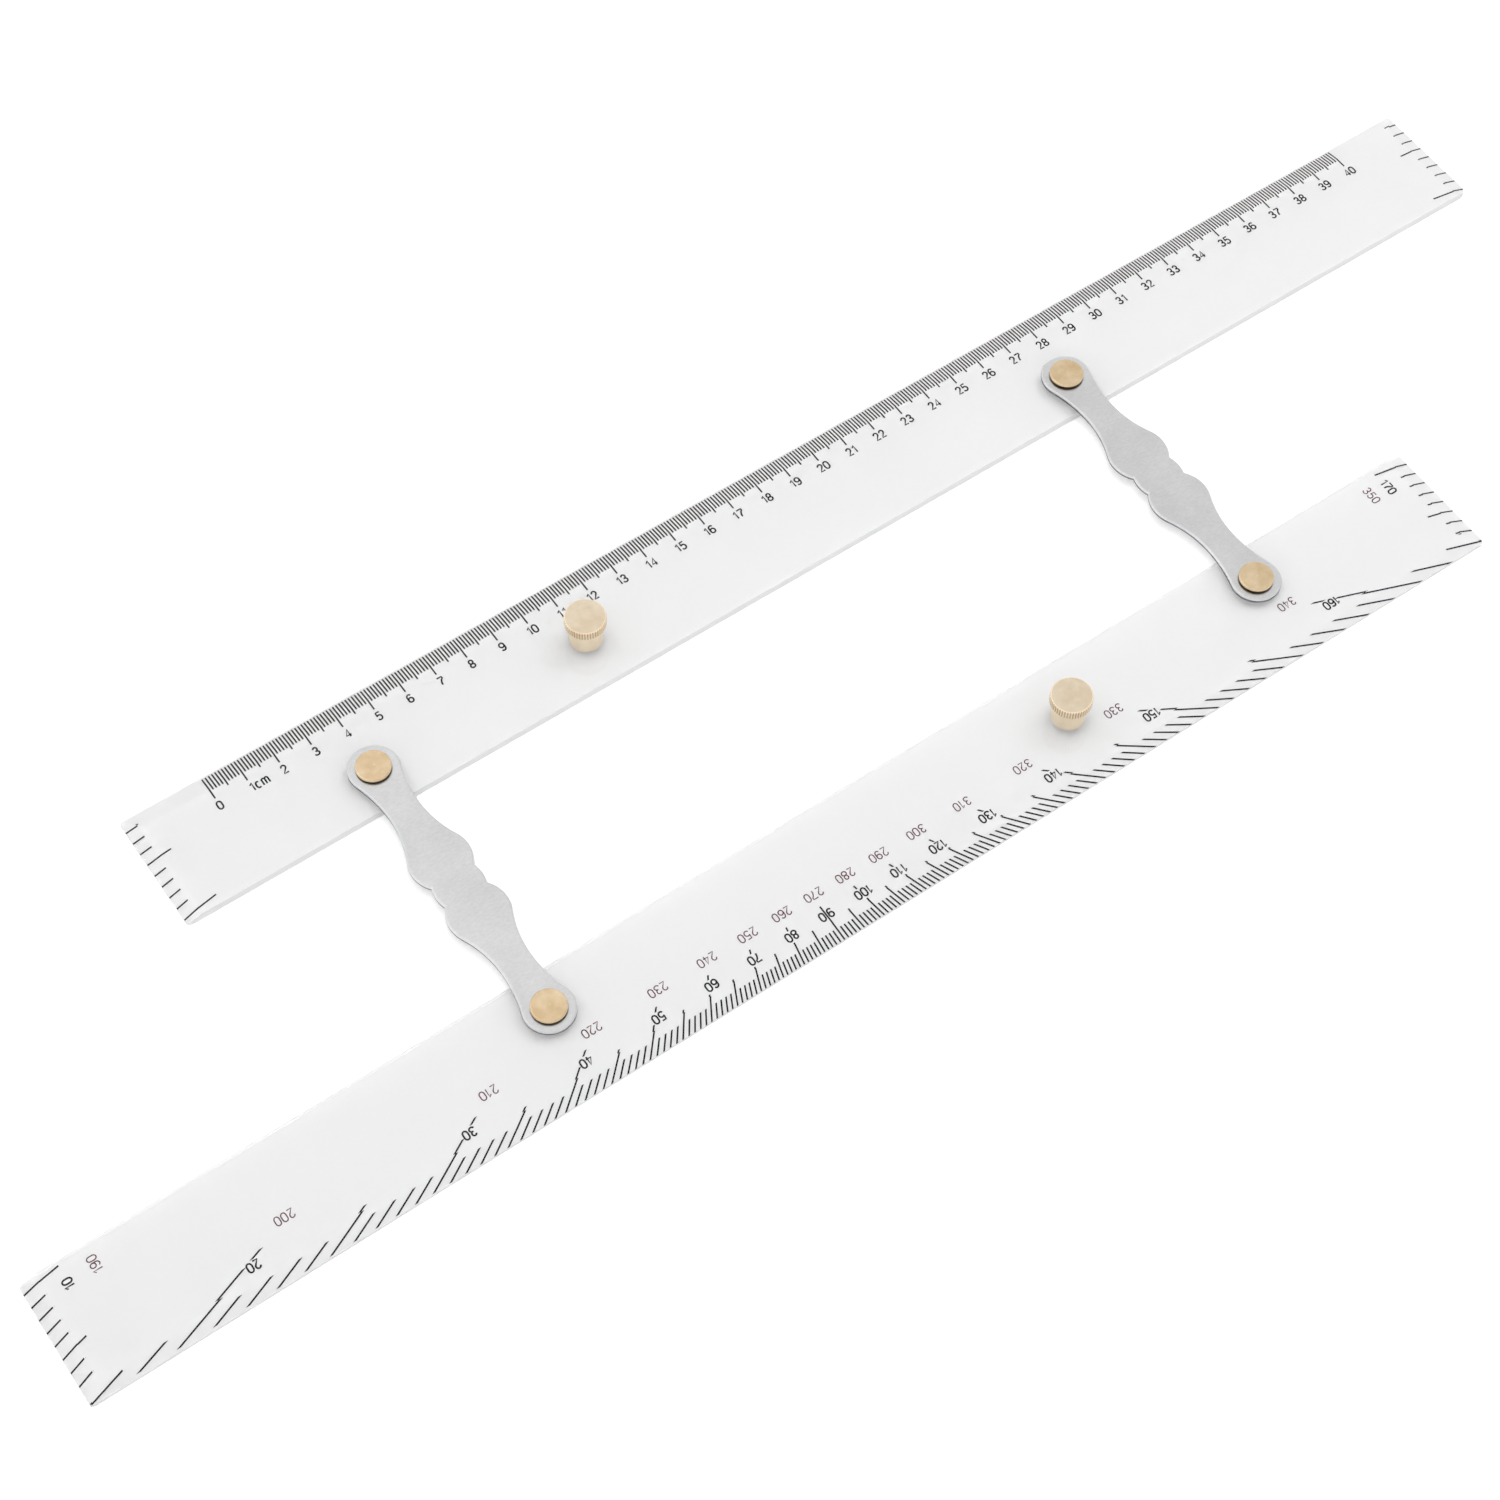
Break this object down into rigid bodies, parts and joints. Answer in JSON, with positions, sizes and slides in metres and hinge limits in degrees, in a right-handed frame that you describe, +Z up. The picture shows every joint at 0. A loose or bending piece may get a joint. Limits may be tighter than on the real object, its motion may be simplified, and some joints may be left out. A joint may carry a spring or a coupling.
{
  "type": "parallel rule",
  "caption": "Parallel rule with clear bevelled bars, pivoted ornamental link arms and knurled knobs, made to walk lines across a drawing or chart.",
  "frame": {"origin": "middle of the open rule's outline, on the surface that both bars rest on", "axes": "+X runs along the bars to the right, +Y from the protractor bar to the scale bar, +Z up out of the bars' top faces"},
  "size_m": [0.534, 0.1384, 0.0139],
  "materials": {
    "clear_acrylic": "polished clear cast acrylic",
    "arm_metal": "satin, fine brushed",
    "pin_brass": "polished",
    "washer_plastic": "natural nylon",
    "fixing_brass": "plain turned",
    "knob_brass": "polished, straight knurled rim"
  },
  "bodies": {
    "protractor_side": {"protractor_bar": "clear_acrylic", "protractor_left_pivot_pin": "pin_brass", "protractor_right_pivot_pin": "pin_brass", "protractor_left_spacer_washer": "washer_plastic", "protractor_right_spacer_washer": "washer_plastic", "protractor_left_rove": "fixing_brass", "protractor_right_rove": "fixing_brass", "protractor_knob": "knob_brass", "protractor_knob_screw": "fixing_brass"},
    "left_arm": {"left_link_arm": "arm_metal"},
    "right_arm": {"right_link_arm": "arm_metal"},
    "scale_side": {"scale_bar": "clear_acrylic", "scale_left_pivot_pin": "pin_brass", "scale_right_pivot_pin": "pin_brass", "scale_left_spacer_washer": "washer_plastic", "scale_right_spacer_washer": "washer_plastic", "scale_left_rove": "fixing_brass", "scale_right_rove": "fixing_brass", "scale_knob": "knob_brass", "scale_knob_screw": "fixing_brass"}
  },
  "joints": [
    {"name": "left_link_swing", "type": "hinge", "parent": "protractor_side", "child": "left_arm", "pos_m": [-0.11865, -0.0435, 0], "axis": [0, 0, 1], "range_deg": [-74.4, 74.4]},
    {"name": "right_link_swing", "type": "hinge", "parent": "protractor_side", "child": "right_arm", "pos_m": [0.11865, -0.0435, 0], "axis": [0, 0, 1], "range_deg": [-74.4, 74.4]},
    {"name": "scale_bar_pivot", "type": "hinge", "parent": "left_arm", "child": "scale_side", "pos_m": [-0.11865, 0.0435, 0], "axis": [0, 0, 1], "range_deg": [-74.4, 74.4]}
  ],
  "couplings": [
    {"joint": "right_link_swing", "follows": "left_link_swing", "ratio": 1},
    {"joint": "scale_bar_pivot", "follows": "left_link_swing", "ratio": -1}
  ]
}
